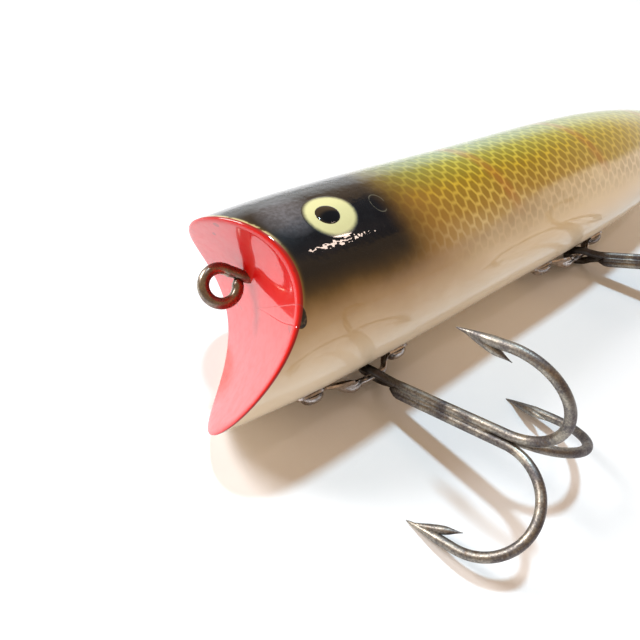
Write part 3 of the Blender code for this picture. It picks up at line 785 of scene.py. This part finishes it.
def make_screws(end):
    """Round-head screws with a cut slot, one through each pad."""
    for side, label, turn in ((-1, "fore", 35), (1, "aft", -20)):
        x = HANGER_CENTRES[end] + side * HANGER_SCREW_SPACING / 2
        inward = Vector((belly_slope(x), 0, 1)).normalized()
        name = "%s_round_screw_%s" % (end, label)
        bm = bmesh.new()
        rings, circle = 16, 48
        loops = []
        for i in range(rings + 1):
            a = math.pi / 2 * i / rings
            r = SCREW_DOME * math.cos(a) if i < rings else 0.02 * MM
            loop = []
            for k in range(circle):
                phi = 2 * math.pi * k / circle
                y, z = r * math.cos(phi), r * math.sin(phi)
                height = SCREW_HEAD_HEIGHT * math.sin(a) ** 0.85
                if abs(y) < SCREW_SLOT_HALF:
                    height = min(height, SCREW_HEAD_HEIGHT - SCREW_SLOT_DEPTH)
                loop.append(bm.verts.new((-height, y, z)))
            loops.append(loop)
        for lower, upper in zip(loops, loops[1:]):
            for k in range(circle):
                j = (k + 1) % circle
                bm.faces.new((lower[k], lower[j], upper[j], upper[k]))
        bm.faces.new(loops[0])
        bm.faces.new(loops[-1])
        mesh = finish_mesh(bm, name, 35)
        seat = belly_point(x, 0) - inward * (SHEET + 0.02 * MM)
        turn_in = Vector((1, 0, 0)).rotation_difference(inward).to_matrix().to_4x4()
        spin = Matrix.Rotation(math.radians(turn), 4, 'X')
        add_piece(name, mesh, LURE @ Matrix.Translation(seat) @ turn_in @ spin, "lure",
                  "screw_steel", "%s_hanger_screw_%s" % (end, label))


# Treble hooks -------------------------------------------------------------------------------
def arm_side(arm):
    angle = math.radians(90 + 120 * arm)
    return Vector((0, math.cos(angle), math.sin(angle)))


def hook_curve(arm, start):
    """One arm's wire from its start along the shank, round the bend and back to the point."""
    far = HOOK_BUNDLE + 2 * HOOK_HALF_GAP
    half_gap = (far - SNUG_BUNDLE) / 2
    outline = []
    for u in np.linspace(start, HOOK_SHANK, 32):
        tucked = ease(u, SINGLE_START, SINGLE_START + 1.3 * MM)
        outline.append((u, SNUG_BUNDLE * (0.5 + 0.5 * tucked)))
    for q in np.linspace(0, math.pi, 60)[1:]:
        outline.append((HOOK_SHANK + HOOK_BEND_DEPTH * math.sin(q),
                        SNUG_BUNDLE + half_gap * (1 - math.cos(q))))
    for share in np.linspace(0, 1, 26)[1:]:
        outline.append((HOOK_SHANK - HOOK_LEG * share, far + HOOK_LEG_FLARE * share ** 1.5))
    side = arm_side(arm)
    points = [Vector((u, 0, 0)) + side * v for u, v in outline]
    radii = [HOOK_WIRE] * len(points)
    taper = 18
    for i in range(taper):
        radii[-1 - i] = HOOK_WIRE * (0.05 + 0.95 * (i / (taper - 1)) ** 0.75)
    return points, radii


def add_barb(bm, arm):
    """Barb sliced out of the inner side of an arm's leg."""
    side = arm_side(arm)
    far = HOOK_BUNDLE + 2 * HOOK_HALF_GAP + HOOK_LEG_FLARE
    point = Vector((HOOK_SHANK - HOOK_LEG, 0, 0)) + side * far
    points, radii = [], []
    for share in np.linspace(0, 1, 24):
        back = BARB_START + (BARB_TIP - BARB_START) * share
        points.append(point + Vector((back, 0, 0)) - side * (BARB_RISE * share ** 1.15))
        girth = 0.10 + 0.32 * math.sin(math.pi / 2 * min(share / 0.6, 1))
        radii.append((girth * (1 - ease(share, 0.62, 1.03)) + 0.03) * MM)
    sweep(bm, points, radii, 12)


def eye_loop(first_arm, second_arm):
    """Wire of the eye, from the first arm's shank round the loop to the second arm's shank."""
    a, b = arm_side(first_arm), arm_side(second_arm)
    middle = (a + b) / 2 * HOOK_BUNDLE
    across = (a - b).normalized()
    beside = SNUG_BUNDLE * math.sqrt(3) / 2
    leave = math.radians(42)
    plane = [(3.4 * MM, beside), (2.5 * MM, beside + 0.1 * MM), (1.85 * MM, beside + 0.35 * MM)]
    turns = np.linspace(leave, 2 * math.pi - leave, 19)
    plane += [(HOOK_EYE_RADIUS * math.cos(t), HOOK_EYE_RADIUS * math.sin(t)) for t in turns]
    plane += [(u, -s) for u, s in plane[2::-1]]
    lift = (a + b) / 2 * (SNUG_BUNDLE - HOOK_BUNDLE)
    points = []
    for u, s in smooth_points(plane, 5):
        points.append(middle + Vector((u, 0, 0)) + across * s
                      + lift * ease(u, 1.5 * MM, 3.4 * MM))
    return points


def treble_frame(end, meshes):
    """Places a treble: eye on the joint, shank on its heading, lowest point on the table."""
    pivot = Vector(JOINTS[end + "_treble_swing"]["pos_m"])
    eye = pivot
    if end == "tail":
        angle = TAIL_HOOK_RING_ANGLE
        toward = Vector((math.cos(angle), 0, math.sin(angle))) * SCREW_EYE_RING
        eye = pivot + LURE.to_3x3() @ toward
    points = [v.co.copy() for mesh in meshes for v in mesh.vertices if v.co.x > HOOK_SHANK / 2]
    low, high = math.radians(-40), math.radians(40)
    for _ in range(40):
        rise = (low + high) / 2
        turn = (Matrix.Rotation(HOOK_HEADING[end], 4, 'Z') @ Matrix.Rotation(-rise, 4, 'Y'))
        if eye.z + min((turn @ p).z for p in points) > 0:
            high = rise
        else:
            low = rise
    return Matrix.Translation(eye) @ turn


def mark_darkening(mesh):
    """Keeps each point's place down the shank, in millimetres, and how much it faces that way."""
    shank = mesh.attributes.new("shank", 'FLOAT', 'POINT')
    outer = mesh.attributes.new("outer", 'FLOAT', 'POINT')
    for vert in mesh.vertices:
        shank.data[vert.index].value = vert.co.x / MM
        # How far a point faces outwards, for the painted shade on the outside of the bends.
        outer.data[vert.index].value = vert.normal.x


def make_braze(end, centre):
    """Braze that fills the grooves between the three wires of a treble's shank."""
    bm = bmesh.new()
    rings = []
    for u in np.linspace(SINGLE_START, BRAZE_END, 70):
        fill = ease(u, SINGLE_START, 3.6 * MM) * (1 - 0.42 * ease(u, 7.0 * MM, 10 * MM))
        fill *= 1 - ease(u, HOOK_SHANK - 3 * MM, BRAZE_END)
        ring = []
        for k in range(24):
            phi = 2 * math.pi * k / 24
            toward_groove = 0.5 - 0.5 * math.cos(3 * (phi - math.pi / 2))
            r = (0.25 + 0.72 * fill * toward_groove ** 0.45) * MM
            ring.append(Vector((u, r * math.cos(phi), r * math.sin(phi))) - centre)
        rings.append(ring)
    skin_rings(bm, rings)
    return finish_mesh(bm, end + "_hook_braze")


def make_treble(end):
    """Double hook bent from one wire, a single hook brazed to its shank, and the braze."""
    single = HOOK_SINGLE_ARM
    first, second = [arm for arm in range(3) if arm != single]
    centre = (arm_side(first) + arm_side(second)) / 2 * HOOK_BUNDLE
    one, radii_one = hook_curve(first, SHANK_START)
    two, radii_two = hook_curve(second, SHANK_START)
    loop = eye_loop(first, second)
    bm = bmesh.new()
    sweep(bm, one[::-1] + loop + two, radii_one[::-1] + [HOOK_WIRE] * len(loop) + radii_two)
    add_barb(bm, first)
    add_barb(bm, second)
    bmesh.ops.translate(bm, verts=bm.verts, vec=-centre)
    double = finish_mesh(bm, end + "_hook_double")
    bm = bmesh.new()
    points, radii = hook_curve(single, SINGLE_START)
    for i, share in enumerate((0.35, 0.7, 0.9)):
        radii[i] = share * HOOK_WIRE
    sweep(bm, points, radii)
    add_barb(bm, single)
    bmesh.ops.translate(bm, verts=bm.verts, vec=-centre)
    third = finish_mesh(bm, end + "_hook_single")
    braze = make_braze(end, centre)
    place = treble_frame(end, (double, third))
    body = end + "_treble"
    for mesh in (double, third, braze):
        mark_darkening(mesh)
    add_piece(end + "_hook_double", double, place, body, "hook_steel", end + "_treble_double")
    add_piece(end + "_hook_single", third, place, body, "hook_steel", end + "_treble_single")
    add_piece(end + "_hook_braze", braze, place, body, "hook_steel")


# Stage --------------------------------------------------------------------------------------
def make_floor():
    """Wide sheet of pale paper."""
    p = Paint("floor_paper")
    place = p.place()
    shade = p.noise(30, 2, 0.5, place)
    grain = p.noise(2500, 2, 0.6, place)
    p.set(Base_Color=p.mix(p.step(shade, 0.3, 0.7), srgb("f4f4f4"), srgb("f0f0f1")),
          Roughness=0.9, Normal=p.bump(grain, 0.02 * MM, 0.5))
    bm = bmesh.new()
    bmesh.ops.create_grid(bm, x_segments=2, y_segments=2, size=3.0)
    mesh = bpy.data.meshes.new("floor")
    bm.to_mesh(mesh)
    bm.free()
    mesh.materials.append(p.material)
    floor = bpy.data.objects.new("floor", mesh)
    bpy.context.scene.collection.objects.link(floor)


def area_light(name, position, target, size, watts, colour, spread=180):
    data = bpy.data.lights.new(name, 'AREA')
    data.spread = math.radians(spread)
    data.shape = 'RECTANGLE'
    data.size, data.size_y = size
    data.energy = watts
    data.color = colour
    obj = bpy.data.objects.new(name, data)
    bpy.context.scene.collection.objects.link(obj)
    obj.location = position
    obj.rotation_euler = (Vector(target) - Vector(position)).to_track_quat('-Z', 'Y').to_euler()


def toward(turn, rise):
    """Direction at a turn from +X towards +Y and a rise from the table, in degrees."""
    turn, rise = math.radians(turn), math.radians(rise)
    return Vector((math.cos(rise) * math.cos(turn), math.cos(rise) * math.sin(turn),
                   math.sin(rise)))


def make_world():
    """Dim warm room with a pale band low down, brighter behind the lure, and one dark card."""
    world = bpy.data.worlds.new("studio")
    bpy.context.scene.world = world
    world.use_nodes = True
    p = Graph(world.node_tree)
    background = p.tree.nodes["Background"]
    direction = p.node("TexCoord")
    height = p.node("SeparateXYZ", {0: direction}, output=2)
    behind = p.node("VectorMath", {0: direction, 1: (0.6, 0.8, 0.0)}, output=1,
                    operation='DOT_PRODUCT')
    band = p.mix(p.step(behind, -0.6, 0.7), (0.50, 0.47, 0.45, 1), (1.05, 1.04, 1.02, 1))
    colour = p.mix(p.step(height, 0.12, 0.40), band, (0.53, 0.36, 0.22, 1))
    card = p.node("VectorMath", {0: direction, 1: toward(*DARK_CARD_AT)}, output=1,
                  operation='DOT_PRODUCT')
    colour = p.mix(p.step(card, 0.88, 0.95), colour, (0.10, 0.10, 0.12, 1))
    p.put(background.inputs["Color"], colour)


def make_lights():
    """Soft key from behind, a side light on the mouth and a warm strip for the cheek's glint."""
    data = bpy.data.lights.new("key", 'SUN')
    data.angle = math.radians(6)
    data.energy = 2.3
    data.color = (0.59, 0.82, 0.99)
    key = bpy.data.objects.new("key", data)
    bpy.context.scene.collection.objects.link(key)
    key.rotation_euler = (-toward(*KEY_FROM)).to_track_quat('-Z', 'Y').to_euler()
    mouth = LURE @ Vector((SCOOP_BACK, 0, 0))
    beside = Vector((mouth.x - 0.06, mouth.y + 0.03, 0))
    area_light("side", beside + toward(*SIDE_FROM) * 0.25, beside, (0.12, 0.12), 0.48,
               (0.98, 0.98, 1.0), spread=130)
    cheek = LURE @ Vector((EYE_X, -body_radius(EYE_X), 0))
    area_light("strip", cheek + toward(*STRIP_FROM) * 0.5, cheek, (0.02, 0.09), 0.14,
               (1.0, 0.78, 0.66))


def make_camera():
    data = bpy.data.cameras.new("camera")
    data.lens = CAMERA_LENS
    data.sensor_width = 36
    data.clip_start = 0.001
    camera = bpy.data.objects.new("camera", data)
    bpy.context.scene.collection.objects.link(camera)
    place = Matrix.LocRotScale(Vector(CAMERA_PLACE) * MM, Euler(CAMERA_TURN), None)
    camera.matrix_world = LURE @ place
    bpy.context.scene.camera = camera


def main():
    make_body()
    make_eyes()
    along = Vector((math.cos(LINE_TIE_SLOPE), 0, math.sin(LINE_TIE_SLOPE)))
    make_screw_eye("line_tie", LINE_TIE_CENTRE, along, LINE_TIE_REACH, LINE_TIE_OFFSET,
                   "line_tie_screw_eye")
    ring = Vector((BODY_END + TAIL_RING_STANDOFF, 0, 0))
    make_screw_eye("tail_eye", ring, Vector((-1, 0, 0)), TAIL_SCREW_REACH, 0, "tail_screw_eye")
    make_tail_cup()
    for end in HANGER_CENTRES:
        make_hanger(end)
        make_screws(end)
    for end in HOOK_HEADING:
        make_treble(end)
    make_floor()
    make_world()
    make_lights()
    make_camera()
    bpy.context.scene.view_settings.view_transform = 'Standard'


main()
